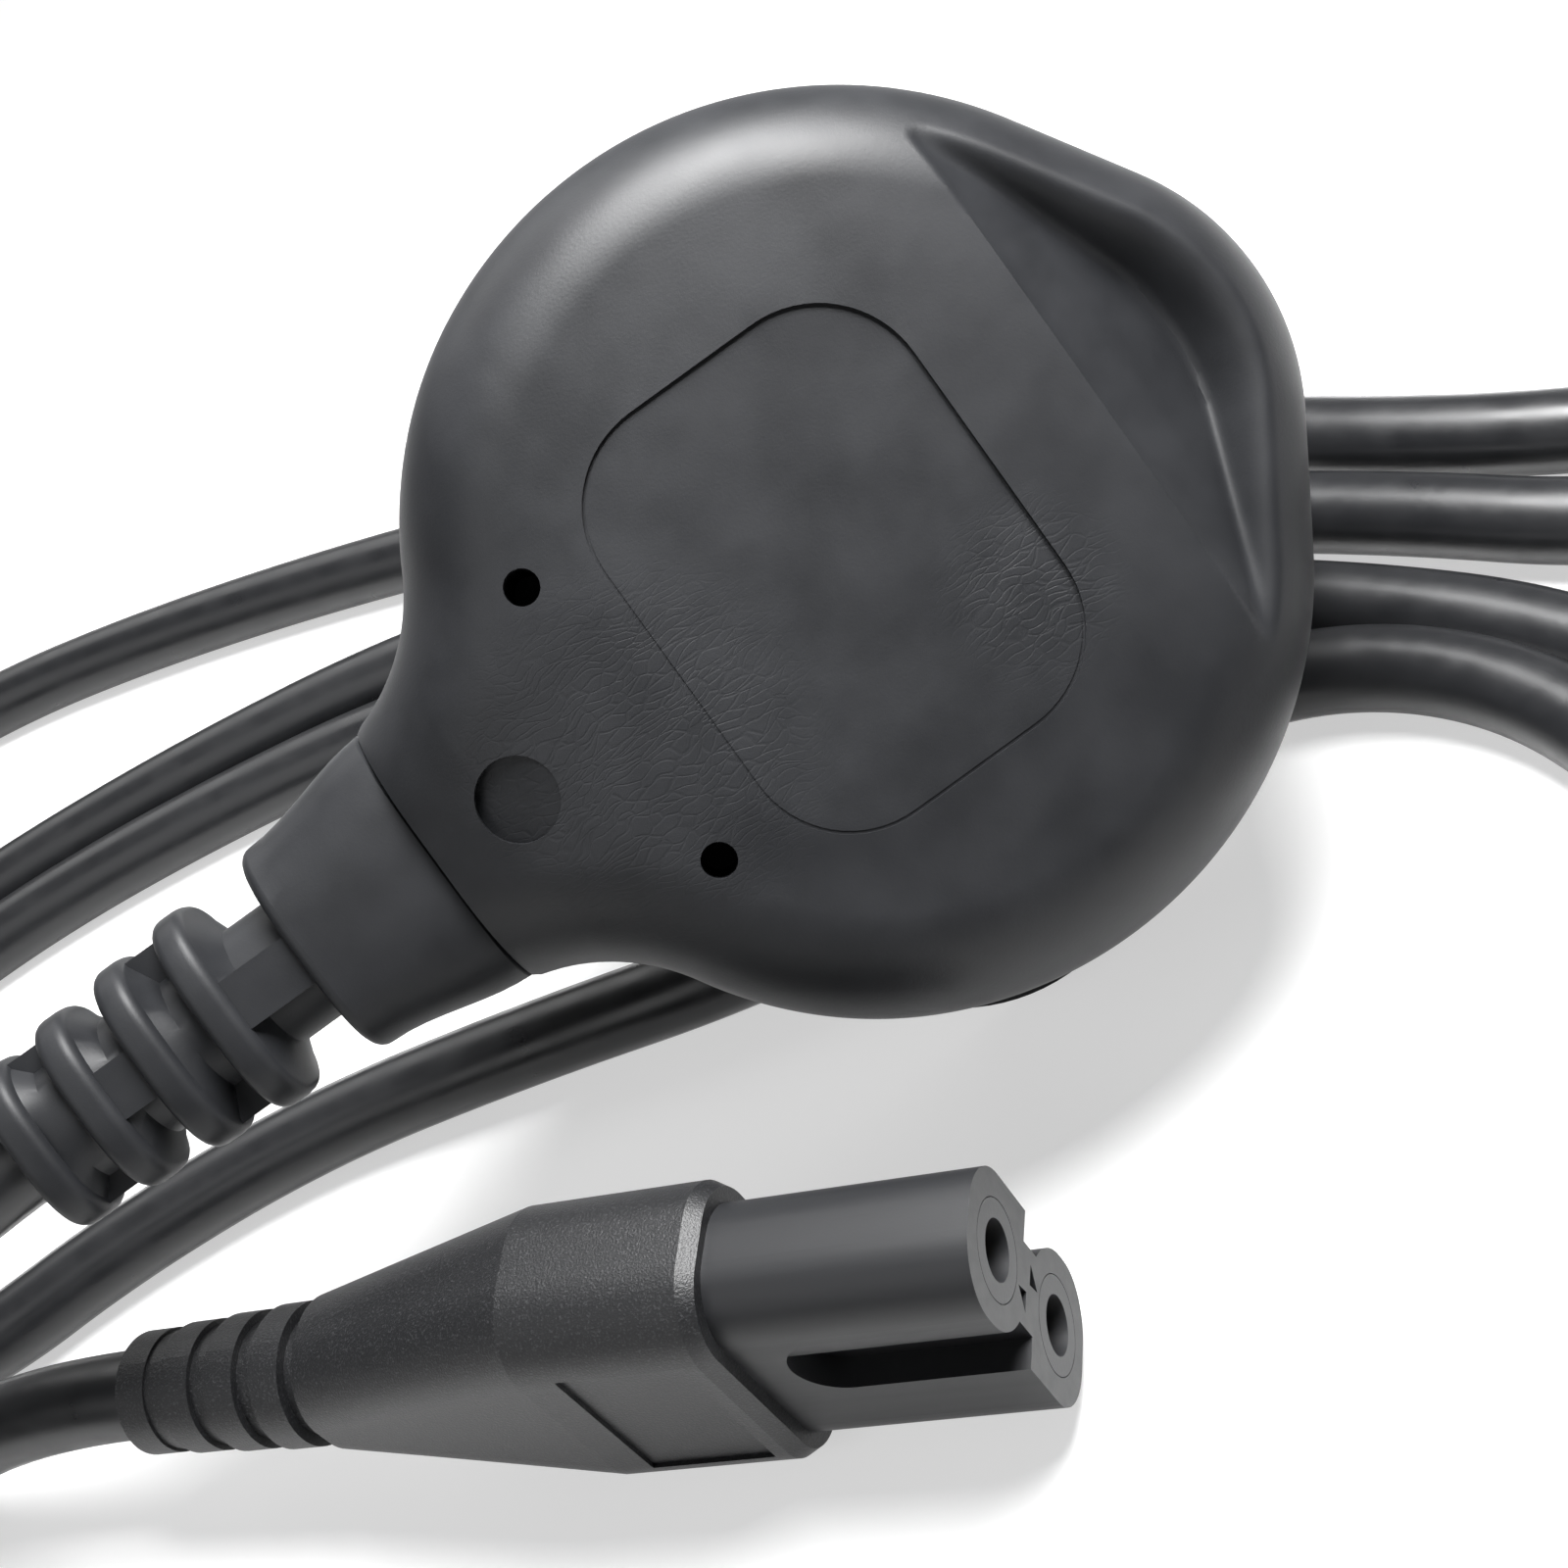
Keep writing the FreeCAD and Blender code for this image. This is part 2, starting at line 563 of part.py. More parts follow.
def strain_relief():
    """The neck and its bending grommet: rings on a sleeve, with webs that change sides."""
    up, back, end = size("neck_height"), size("neck_back"), size("relief_back")
    seam, count = size("seam_back"), int(size("relief_rings"))
    neck = lofted([(13.2, 2 * size("seam_half") - 0.2, 5.5, -seam), (12.4, 15.4, 5.2, -(seam + back) / 2),
                   (11.6, 14.0, 5.0, -back)])
    whole = neck
    pitch = (end - back - size("ring_thick")) / (count - 1) if count > 1 else 0
    core = rod(Vector(-end, 0, 0), Vector(-back + 1, 0, 0), size("cord_dia") + 2.4)
    whole = whole.fuse(core)
    for k in range(1, count):
        x = -back - k * pitch
        shrink = 1 - 0.055 * k
        wide, thick, ring = 11.6 * shrink, 14.0 * shrink, size("ring_thick")
        whole = whole.fuse(lofted([(wide, thick, 4.8 * shrink, x - ring), (wide, thick, 4.8 * shrink, x)], True))
        room = pitch - ring if k > 1 else pitch
        if k % 2:
            web = box(x, x + room, -1.6, 1.6, -wide / 2 + 0.4, wide / 2 - 0.4)
            webs = [web]
        else:
            webs = [box(x, x + room, -thick / 2 + 0.4, thick / 2 - 0.4, -1.6, 1.6)]
        for web in webs:
            whole = whole.fuse(web)
    way = rod(Vector(-end - 1, 0, 0), Vector(-seam + 1, 0, 0), size("cord_dia") + 2 * size("fit"))
    whole = whole.cut(way).removeSplitter()
    shaped("strain_relief", whole, plug_place().multiply(Placement(Vector(0, 0, up), Rotation())))


def lobe_outline(x0, x1):
    """The solid of the nose: an oblong whose two side channels make it a figure eight."""
    wide, thick = size("nose_wide"), size("nose_thick")
    return lofted([(wide, thick, size("nose_corner"), x0), (wide, thick, size("nose_corner"), x1)], True)


def channel(side):
    """One side channel: a step on one lobe and the round of the other lobe."""
    pitch, floor, step = size("bore_pitch") / 2, size("channel_floor"), size("channel_step")
    start, radius = -size("channel_long"), (pitch + step) / 2
    low = box(start + radius, 2, floor, 9, -pitch, step)
    low = low.fuse(rod(Vector(start + radius, floor, step - radius), Vector(start + radius, 9, step - radius), 2 * radius))
    keepout = rod(Vector(start - 9, 0, -pitch), Vector(4, 0, -pitch), size("nose_thick"))
    cut = low.cut(keepout)
    cut.rotate(Vector(0, 0, 0), Vector(1, 0, 0), 0 if side > 0 else 180)
    return cut


def connector_nose():
    """The plain moulded nose that goes into the appliance."""
    behind, pitch = size("nose_long") + 8.0, size("bore_pitch") / 2
    nose = lobe_outline(-behind, 0)
    for side in (-1, 1):
        nose = nose.cut(channel(side))
        corners = [Vector(-0.7, side * y, side * z) for y, z in ((0.3, -0.2), (1.5, -0.2), (0.4, -1.3))]
        recess = Part.Face(Part.makePolygon(corners + corners[:1])).extrude(Vector(2, 0, 0))
        nose = nose.cut(recess)
        z = side * pitch
        nose = nose.cut(rod(Vector(-behind - 1, 0, z), Vector(1, 0, z), size("liner_dia") + 2 * size("fit")))
    shaped("connector_nose", nose.removeSplitter(), connector_place())
    for name, side in (("bore_liner_upper", 1), ("bore_liner_lower", -1)):
        z = side * pitch
        liner = rod(Vector(-behind, 0, z), Vector(0, 0, z), size("liner_dia"))
        shaped(name, liner.cut(rod(Vector(-behind - 1, 0, z), Vector(1, 0, z), size("bore_dia"))), connector_place())
    for name, side in (("contact_upper", 1), ("contact_lower", -1)):
        z, inset = side * pitch, size("contact_inset")
        outer = size("bore_dia") - 0.1
        tube = rod(Vector(-inset - size("bore_deep"), 0, z), Vector(-inset, 0, z), outer)
        tube = tube.cut(rod(Vector(-inset - size("bore_deep"), 0, z), Vector(1, 0, z), outer - 2 * size("contact_wall")))
        tube = tube.cut(box(-inset - 8, 0, -0.25, 0.25, z - 3, z + 3))
        shaped(name, tube, connector_place())


def connector_handle():
    """The grained handle moulded over the back of the nose, down to its ribbed tail."""
    front, flat, taper = size("nose_long"), size("handle_flat"), size("handle_taper")
    wide, thick, tail = size("handle_wide"), size("handle_thick"), size("tail_wide")
    grip = lofted([(wide - 1.0, thick - 1.0, 3.6, -front), (wide, thick, 4.2, -front - 0.9)], True)
    grip = grip.fuse(lofted([(wide, thick, 4.2, -front - 0.9), (wide, thick, 4.2, -front - flat)], True))
    end = front + flat + taper
    grip = grip.fuse(lofted([(wide, thick, 4.2, -front - flat), (0.5 * (wide + tail), 9.6, 4.0, -front - flat - 0.5 * taper),
                             (tail, 8.6, 4.0, -end)]))
    count, long = int(size("tail_ribs")), size("tail_long")
    pitch = long / count
    grip = grip.fuse(rod(Vector(-end - long, 0, 0), Vector(-end + 1, 0, 0), size("cord_dia") + 1.6))
    for k in range(count):
        x = -end - (k + 1) * pitch
        dia = 8.6 - 0.35 * k
        grip = grip.fuse(rod(Vector(x, 0, 0), Vector(x + 0.6 * pitch, 0, 0), dia))
    socket = lobe_outline(-front - 8.0 - size("fit"), 1)
    grip = grip.cut(socket)
    grip = grip.cut(box(-front - 13, -front - 8, -3.2, 3.2, -6.2, 6.2))
    grip = grip.cut(rod(Vector(-end - long - 1, 0, 0), Vector(-front - 12, 0, 0), size("cord_dia") + 2 * size("fit")))
    for side in (-1, 1):
        panel = box(-front - 9.6, -front - 1.8, side * thick / 2 - 0.3, side * thick / 2 + 0.3, -5.6, 5.6)
        grip = grip.cut(panel)
    shaped("connector_handle", grip.removeSplitter(), connector_place())
    start = -front - 12.9
    shaped("connector_cord_end", rod(Vector(-end - long, 0, 0), Vector(start, 0, 0), size("cord_dia")), connector_place())
    for name, side in (("connector_line_core", 1), ("connector_neutral_core", -1)):
        z0, z1 = side * size("core_pitch") / 2, side * size("bore_pitch") / 2
        first, last = Vector(start, 0, z0), Vector(-front - 8.0, 0, z1)
        dia = size("core_dia")
        shape = rod(Vector(start, 0, z0), Vector(start + 0.8, 0, z0), dia)
        shape = shape.fuse(Part.makeSphere(dia / 2, Vector(start + 1.2, 0, z0)))
        turn = Vector(start + 1.2, 0, z0)
        shape = shape.fuse(rod(turn, last - Vector(0.3, 0, 0), dia)).fuse(Part.makeSphere(dia / 2, last))
        shape = shape.fuse(rod(last, Vector(-size("contact_inset") - size("bore_deep") - 0.05, 0, z1), dia))
        shape = shape.cut(box(start - 4, start, -9, 9, -9, 9))
        shaped(name, shape.removeSplitter(), connector_place())


def cord():
    """One round cord: straight runs joined by tangent arcs."""
    lead, back = size("cord_lead"), size("relief_back")
    start = plug_place().multVec(Vector(-back, 0, size("neck_height")))
    leave = plug_place().multVec(Vector(-back - lead, 0, size("neck_height")))
    tail = size("nose_long") + size("handle_flat") + size("handle_taper") + size("tail_long")
    arrive = connector_place().multVec(Vector(-tail - lead, 0, 0))
    finish = connector_place().multVec(Vector(-tail, 0, 0))
    points = [start, leave] + [centred(Vector(*p)) for p in ROUTE] + [arrive, finish]
    edges, at, radii = [], points[0], []
    for before, here, after in zip(points, points[1:], points[2:]):
        one, two = here - before, after - here
        turn = one.getAngle(two)
        radius = 0.45 * min(one.Length, two.Length) / math.tan(turn / 2)
        trim = 0.45 * min(one.Length, two.Length)
        first = here - one * (trim / one.Length)
        last = here + two * (trim / two.Length)
        inward = (two * (1 / two.Length) - one * (1 / one.Length)).normalize()
        middle = here + inward * (radius / math.cos(turn / 2) - radius)
        edges.append(Part.LineSegment(at, first).toShape())
        edges.append(Part.Arc(first, middle, last).toShape())
        at = last
        radii.append((round(radius, 1), tuple(round(v) for v in here)))
    edges.append(Part.LineSegment(at, finish).toShape())
    path = Part.Wire(edges)
    ring = Part.Wire([Part.makeCircle(size("cord_dia") / 2, start, points[1] - start)])
    tube = path.makePipeShell([ring], True, False, 1)
    long = path.Length
    print("cord length", round(long, 1), "smallest radii", sorted(radii)[:6])
    print("volume against section times length", tube.Volume / (math.pi * (size("cord_dia") / 2) ** 2 * long))
    shaped("cord", tube)


def main():
    plug_cover()
    pin_base()
    for name, side in (("live", -1), ("neutral", 1)):
        power_pin(name + "_pin", side)
        pin_sleeve(name + "_sleeve", side)
    earth_pin()
    fuse_carrier()
    fuse()
    reach = size("fuse_long") / 2 - size("fuse_cap_long") / 2
    fuse_clip("fuse_clip_cord", size("carrier_centre") - reach)
    fuse_clip("fuse_clip_earth", size("carrier_centre") + reach)
    wiring()
    strain_relief()
    connector_nose()
    connector_handle()
    cord()
    doc.recompute()
    for item in doc.Objects:
        if "Invalid" in item.State or "Error" in item.State:
            raise RuntimeError(f"{item.Label} did not build: {item.State}")
    os.makedirs("parts", exist_ok=True)
    for item in made:
        if item.Shape.isNull() or not item.Shape.isValid():
            raise RuntimeError(f"{item.Label} has no valid shape")
        item.Shape.exportStep(f"parts/{item.Label}.step")
        print(item.Label, len(item.Shape.Solids), round(item.Shape.Volume, 2), item.Shape.BoundBox)


main()
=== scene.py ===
import json
import math

import bmesh
import bpy
from mathutils import Matrix, Vector


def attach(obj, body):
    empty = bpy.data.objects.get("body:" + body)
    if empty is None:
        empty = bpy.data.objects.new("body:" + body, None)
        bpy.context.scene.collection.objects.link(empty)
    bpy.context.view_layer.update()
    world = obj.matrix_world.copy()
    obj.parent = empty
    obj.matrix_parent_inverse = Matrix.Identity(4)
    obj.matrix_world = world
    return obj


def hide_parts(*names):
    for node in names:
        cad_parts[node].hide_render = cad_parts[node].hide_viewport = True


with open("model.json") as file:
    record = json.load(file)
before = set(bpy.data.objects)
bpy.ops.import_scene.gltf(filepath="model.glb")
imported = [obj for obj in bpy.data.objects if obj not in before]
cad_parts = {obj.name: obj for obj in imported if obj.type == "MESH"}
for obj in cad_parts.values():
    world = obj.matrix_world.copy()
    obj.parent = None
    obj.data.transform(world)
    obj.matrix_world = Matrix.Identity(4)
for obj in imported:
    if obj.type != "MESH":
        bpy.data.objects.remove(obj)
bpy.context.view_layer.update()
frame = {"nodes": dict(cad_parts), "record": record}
nodes = frame["nodes"]
mm = 0.001
print("frame loaded:", len(nodes), "nodes")

# where the two ends of the lead lie, in the frame's own millimetres
plugRest = {"at": (11.22, 11.77, 21.633), "lean": 50.588, "exit": (-50.0, 0.0, 9.0)}
connectorRest = {"at": (4.02, -30.43, 9.3), "turn": -32.7, "tail": (-58.0, 0.0, 0.0)}


def plugPoint(x, y, z):
    turned = Matrix.Rotation(math.radians(plugRest["lean"]), 4, "X") @ Vector((x, y, z))
    return (Vector(plugRest["at"]) + turned) * mm


def connectorPoint(x, y, z):
    turned = Matrix.Rotation(math.radians(connectorRest["turn"]), 4, "Z") @ Vector((x, y, z))
    return (Vector(connectorRest["at"]) + turned) * mm


# camera: looks down on the plug's cover, rolled so that the neck points to the lower left
cameraSet = {
    "place": (9.1, -100.4, 111.1),  # mm
    "elevation": 42.0,
    "roll": 35.8,
    "lens": 52.8,
    "sensor": 36.0,
    "clip": (0.005, 10),  # metres
}


def makeCamera():
    lens = bpy.data.cameras.new("camera")
    lens.lens = cameraSet["lens"]
    lens.sensor_width = cameraSet["sensor"]
    lens.clip_start, lens.clip_end = cameraSet["clip"]
    camera = bpy.data.objects.new("camera", lens)
    bpy.context.scene.collection.objects.link(camera)
    tilt = Matrix.Rotation(math.radians(90 - cameraSet["elevation"]), 4, "X")
    roll = Matrix.Rotation(-math.radians(cameraSet["roll"]), 4, "Z")
    camera.matrix_world = Matrix.Translation(Vector(cameraSet["place"]) * mm) @ tilt @ roll
    bpy.context.scene.camera = camera


makeCamera()
print("camera placed")

# the cord: same points as the route in the part, before it is centred
cordSet = {
    "diameter": 5.6,
    "lead": 12.0,
    "centre": (-11.22, -11.77),
    "route": [
        (-77, -6, 19.5), (-90, -0.5, 10.6), (-101, 9, 4.6), (-108, 22, 2.9),
        (-111, 37, 2.8), (-109.5, 53, 2.8), (-102, 68, 2.8), (-90, 79.5, 2.8), (-75, 84.5, 2.8),
        (-58, 82.5, 2.8), (-39, 74, 2.8), (-18, 61.5, 2.8), (2, 47, 2.8), (20, 31, 2.8),
        (36, 13.5, 2.8), (49, -5, 2.8), (61.5, -17.6, 2.8), (75.1, -25.8, 2.8), (88.2, -37.3, 2.8),
        (92.3, -53.8, 2.8), (86, -69.5, 2.8), (71.6, -78.6, 2.8), (54.6, -77.3, 2.8),
        (41.6, -66.4, 2.8), (37.5, -51.5, 2.8), (38.6, -35, 2.8), (37.2, -22, 2.8),
        (29.3, -11.6, 2.8), (17.5, -7.9, 2.8), (3, -7.8, 2.8), (-11.5, -4.4, 2.8), (-27, 2, 2.8),
        (-43, 7.4, 2.8), (-59, 9.4, 2.8),
        (-72, 8.8, 2.8), (-84, 12.7, 2.8), (-91.5, 23, 2.8), (-91.5, 35.6, 2.8), (-84, 45.9, 2.8),
        (-72, 49.8, 2.8), (-58, 49.6, 2.8), (-42, 46.6, 2.8), (-25, 41.5, 2.8), (-7, 32, 2.8),
        (9, 19.5, 2.8), (23, 5, 2.8), (34, -9, 2.8), (42, -22.5, 2.8), (44.9, -36.5, 2.8),
        (44.4, -50.5, 2.8), (47.5, -62.7, 2.8), (57.2, -70.8, 2.8), (69.9, -71.7, 2.8),
        (80.6, -65, 2.8), (85.3, -53.2, 2.8), (82.3, -41, 2.8), (72.6, -32.9, 2.8),
        (59.5, -26.6, 2.8), (49, -17.5, 2.8), (40.5, -4.5, 2.8), (28.5, 10.5, 2.8), (13, 26, 2.8),
        (-4, 38.5, 2.8), (-22.5, 48, 2.8), (-41, 53.2, 2.8), (-58, 56.2, 2.8), (-73, 56.8, 2.8),
        (-88, 51.6, 2.8), (-97.6, 38.5, 2.8), (-98.6, 23, 2.8), (-91, 9.6, 2.8), (-79, 1.2, 3.6),
    ],
    "length": 1.204,  # metres
    "spanSteps": 14,
    "roundSteps": 6,
}


def makeCord():
    exitX, exitY, exitZ = plugRest["exit"]
    tailX, tailY, tailZ = connectorRest["tail"]
    centreX, centreY = cordSet["centre"]
    points = [plugPoint(exitX, exitY, exitZ), plugPoint(exitX - cordSet["lead"], exitY, exitZ)]
    for x, y, z in cordSet["route"]:
        points.append(Vector((x - centreX, y - centreY, z)) * mm)
    points.append(connectorPoint(tailX - cordSet["lead"], tailY, tailZ))
    points.append(connectorPoint(tailX, tailY, tailZ))
    curve = bpy.data.curves.new("roundCord", "CURVE")
    curve.dimensions = "3D"
    curve.resolution_u = cordSet["spanSteps"]
    curve.bevel_resolution = cordSet["roundSteps"]
    curve.bevel_depth = 1.0  # each point's radius is the cord's own
    spline = curve.splines.new("NURBS")
    spline.points.add(len(points) - 1)
    for place, point in zip(spline.points, points):
        place.co = (*point, 1)
        place.radius = 0.5 * cordSet["diameter"] * mm
    spline.order_u = 3
    spline.use_endpoint_u = True
    cord = bpy.data.objects.new("roundCord", curve)
    bpy.context.scene.collection.objects.link(cord)
    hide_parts("cord")
    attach(cord, "lead")
    return cord


roundCord = makeCord()
print("cord laid")

# the plug's cover: the part's own plan, with the full finger scoop and the neck mark worked in, mm
coverSet = {
    "height": 23.0,
    "bottom": 4.0,
    "round": 6.5,  # radius of the rolled edge
    "crown": 0.7,  # fall of the top from its middle to its side
    "crownReach": 24.0,  # past this distance the crown falls no further
    "middle": 8.5,
    "sideShift": 1.6,
    "sideRadius": 24.4,
    "tip": 35.6,
    "tipRadius": 15.0,
    "seamBack": 20.2,
    "seamHalf": 8.8,
    "seamSlope": 13.5,
    "hollow": 11.0,
    "neckStart": -2.0,
    "neckFall": 7.0,
    "neckPast": 1.0,  # the neck's arc ends this far past the seam
    "wall": 3.5,
    "wallRings": (9.0, 7.0),  # heights of the rings down the outer wall
    "cavityTop": 14.0,
    "cavityShare": 0.5,
    "scoopEdge": 23.1,
    "scoopFall": 0.62,  # fall of the scoop's floor for each millimetre towards the tip
    "scoopLip": 0.35,  # small step at the scoop's straight edge
    "lipRun": 0.35,
    "scoopRim": 2.8,
    "scoopWall": 5.4,
    "scoopDeep": 6.4,
    "scoopBlend": 1.0,
    "angles": 480,
    "ringsIn": 44,
    "ringsOut": 60,
    "ringsInShare": 0.72,  # most of the way out that the inner rings take
    "edgeFacing": 0.3,  # a ray turned further from the tip misses the scoop's edge
    "crowding": 1.6,  # how much the outer rings crowd towards the rolled edge
    "reachSearch": (5.0, 32.0),
    "halvings": 26,
    "cutterOver": 3.0,
    "holeAt": (-7.25, 8.85),
    "holeRadius": 1.0,
    "holeDeep": 8.0,
    "labelAt": (6.6, 0.0),
    "labelHalf": (9.9, 12.8),
    "labelRound": 6.0,
    "labelSteps": 16,
    "labelDeep": 0.42,  # below the cover's full height, as the groove's
    "grooveHalf": 0.09,
    "grooveDeep": 0.48,
    "markAt": (-14.2, 0.0),
    "markRadius": 2.4,
    "markDeep": 0.55,
    "markTilt": 9.0,
}


def hollowCentre():
    # centre of the concave arc that joins the neck's line to the side circle
    slope = math.radians(coverSet["seamSlope"])
    along = Vector((math.cos(slope), math.sin(slope)))
    normal = Vector((-along.y, along.x))
    side = Vector((coverSet["middle"], coverSet["sideShift"]))
    seam = Vector((-coverSet["seamBack"], coverSet["seamHalf"]))
    off = coverSet["hollow"] - (side - seam).dot(normal)
    across = math.sqrt((coverSet["sideRadius"] + coverSet["hollow"]) ** 2 - off ** 2)
    return side + normal * off - along * across, seam, along, normal


hollowMid, seamCorner, neckAlong, neckNormal = hollowCentre()
sideMid = Vector((coverSet["middle"], coverSet["sideShift"]))
tipMid = Vector((coverSet["tip"] - coverSet["tipRadius"], 0.0))


def coneDistance(point):
    # outside distance of the side circle and the tip circle with the shoulder line that touches both
    gap = tipMid - sideMid
    taper = math.acos((coverSet["sideRadius"] - coverSet["tipRadius"]) / gap.length)
    reach = taper + math.atan2(gap.y, gap.x)
    out = Vector((math.cos(reach), math.sin(reach)))
    shoulder = Vector((out.y, -out.x))
    if (point - tipMid).dot(shoulder) > 0:
        return (point - tipMid).length - coverSet["tipRadius"]
    if (point - sideMid).dot(shoulder) > 0:
        return (point - sideMid).dot(out) - coverSet["sideRadius"]
    return (point - sideMid).length - coverSet["sideRadius"]


def planDistance(x, y):
    # distance outside the cover's plan, negative inside it
    point = Vector((x, abs(y)))
    body = coneDistance(point)
    neck = (point - seamCorner).dot(neckNormal)
    distance = min(body, neck) if x < sideMid.x else body
    spoke = point - hollowMid
    toSide = (sideMid - hollowMid).normalized()
    if spoke.dot(neckAlong) > 0 and spoke.cross(toSide) > 0 and spoke.length < 2 * coverSet["hollow"]:
        distance = min(distance, coverSet["hollow"] - spoke.length)
    return distance


def planReach(angle):
    # how far the plan reaches from the cover's middle along a ray
    near, far = coverSet["reachSearch"]
    for step in range(coverSet["halvings"]):
        reach = 0.5 * (near + far)
        x, y = coverSet["middle"] + reach * math.cos(angle), reach * math.sin(angle)
        if x > -coverSet["seamBack"] and planDistance(x, y) < 0:
            near = reach
        else:
            far = reach
    return near


def eased(value):
    value = min(max(value, 0.0), 1.0)
    return value * value * (3 - 2 * value)


def coverTop(x, y):
    inside = -planDistance(x, y)
    crown = coverSet["crown"] / coverSet["sideRadius"] ** 2
    top = coverSet["height"] - crown * ((x - coverSet["middle"]) ** 2 + y * y)
    if x < coverSet["neckStart"]:
        run = coverSet["neckStart"] + coverSet["seamBack"] + coverSet["neckPast"]
        bend = (run ** 2 + coverSet["neckFall"] ** 2) / (2 * coverSet["neckFall"])
        top -= bend - math.sqrt(bend ** 2 - (x - coverSet["neckStart"]) ** 2)
        top += crown * min(coverSet["middle"] - x, coverSet["crownReach"]) ** 2
        top -= crown * (coverSet["middle"] - coverSet["neckStart"]) ** 2
    roll = coverSet["round"]
    if inside < roll:
        top -= roll - math.sqrt(max(roll ** 2 - (roll - max(inside, 0.0)) ** 2, 0.0))
    past = max(x - coverSet["scoopEdge"], 0.0)
    floor = coverSet["scoopFall"] * past + coverSet["scoopLip"] * (1 - math.exp(-past / coverSet["lipRun"]))
    wall = coverSet["scoopDeep"] * eased((inside - coverSet["scoopRim"]) / coverSet["scoopWall"])
    if floor > 0 and wall > 0:
        # the lower of floor and wall, rounded where they meet
        blend = max(coverSet["scoopBlend"] - abs(floor - wall), 0.0) / coverSet["scoopBlend"]
        depth = min(floor, wall) - 0.25 * coverSet["scoopBlend"] * blend * blend
        top -= max(depth, 0.0)
    return top


def coverGrid():
    # rings round the middle, one of them on the scoop's straight edge
    spread, inner, outer = coverSet["angles"], coverSet["ringsIn"], coverSet["ringsOut"]
    points, faces = [(coverSet["middle"], 0.0, coverTop(coverSet["middle"], 0.0))], []
    reaches = [planReach(2 * math.pi * number / spread) for number in range(spread)]
    edgeGap = coverSet["scoopEdge"] - coverSet["middle"]

    def ring(shares, height):
        for number, reach in enumerate(reaches):
            angle = 2 * math.pi * number / spread
            away = shares(angle, reach)
            x, y = coverSet["middle"] + away * math.cos(angle), away * math.sin(angle)
            points.append((x, y, coverTop(x, y) if height is None else height))

    def bent(angle, reach):
        # how far out the inner rings end: on the scoop's edge where the ray meets it
        facing, most = math.cos(angle), coverSet["ringsInShare"] * reach
        return min(most, edgeGap / facing) if facing > coverSet["edgeFacing"] else most

    for step in range(1, inner + 1):
        ring(lambda angle, reach: bent(angle, reach) * step / inner, None)
    for step in range(1, outer + 1):
        share = 1 - (1 - step / outer) ** coverSet["crowding"]
        ring(lambda angle, reach: bent(angle, reach) * (1 - share) + reach * share, None)
    # down the outer wall, across the rim and up into the cavity
    low = coverSet["bottom"]
    for height in (*coverSet["wallRings"], low):
        ring(lambda angle, reach: reach, height)
    ring(lambda angle, reach: reach - coverSet["wall"], low)
    ring(lambda angle, reach: reach - coverSet["wall"], coverSet["cavityTop"])
    ring(lambda angle, reach: coverSet["cavityShare"] * reach, coverSet["cavityTop"])
    points.append((coverSet["middle"], 0.0, coverSet["cavityTop"]))
    rings = (len(points) - 2) // spread
    for number in range(spread):
        after = (number + 1) % spread
        faces.append((0, 1 + number, 1 + after))
        for step in range(rings - 1):
            near, far = 1 + step * spread, 1 + (step + 1) * spread
            faces.append((near + number, far + number, far + after, near + after))
        last = 1 + (rings - 1) * spread
        faces.append((last + number, len(points) - 1, last + after))
    return points, faces


def meshPiece(name, points, faces):
    # the points are in the plug's own millimetres
    mesh = bpy.data.meshes.new(name)
    mesh.from_pydata([plugPoint(*point) for point in points], [], faces)
    work = bmesh.new()
    work.from_mesh(mesh)
    bmesh.ops.recalc_face_normals(work, faces=work.faces)
    work.to_mesh(mesh)
    work.free()
    piece = bpy.data.objects.new(name, mesh)
    bpy.context.scene.collection.objects.link(piece)
    return piece


def prism(name, outline, low, high):
    # a cutter over a closed outline, with its own low end for each point
    count = len(outline)
    points = [(x, y, low(x, y)) for x, y in outline] + [(x, y, high) for x, y in outline]
    faces = [tuple(reversed(range(count))), tuple(range(count, 2 * count))]
    for number in range(count):
        after = (number + 1) % count
        faces.append((number, after, count + after, count + number))
    return meshPiece(name, points, faces)


def circle(x, y, radius, count=64):
    return [
        (x + radius * math.cos(2 * math.pi * n / count), y + radius * math.sin(2 * math.pi * n / count))
        for n in range(count)
    ]


def band(name, outer, inner, low, high):
    # a cutter that follows a closed line
    count = len(outer)
    points = [(x, y, z) for z in (low, high) for line in (outer, inner) for x, y in line]
    faces = []
    for number in range(count):
        after = (number + 1) % count
        for one, two in ((0, 1), (1, 3), (3, 2), (2, 0)):
            one, two = one * count, two * count
            faces.append((one + number, one + after, two + after, two + number))
    return meshPiece(name, points, faces)


def labelOutline(grow=0.0):
    (x, y), (halfX, halfY), radius = coverSet["labelAt"], coverSet["labelHalf"], coverSet["labelRound"]
    halfX, halfY, radius = halfX + grow, halfY + grow, radius + grow
    corners = [(1, 1, 0), (-1, 1, 90), (-1, -1, 180), (1, -1, 270)]
    steps, outline = coverSet["labelSteps"], []
    for signX, signY, start in corners:
        for step in range(steps + 1):
            angle = math.radians(start + 90 * step / steps)
            outline.append((
                x + signX * (halfX - radius) + radius * math.cos(angle),
                y + signY * (halfY - radius) + radius * math.sin(angle),
            ))
    return outline


def cutAway(piece, cutters):
    for cutter in cutters:
        step = piece.modifiers.new(cutter.name, "BOOLEAN")
        step.operation = "DIFFERENCE"
        step.solver = "EXACT"
        step.object = cutter
    result = bpy.data.meshes.new_from_object(piece.evaluated_get(bpy.context.evaluated_depsgraph_get()))
    piece.modifiers.clear()
    piece.data = result
    for cutter in cutters:
        bpy.data.objects.remove(cutter)


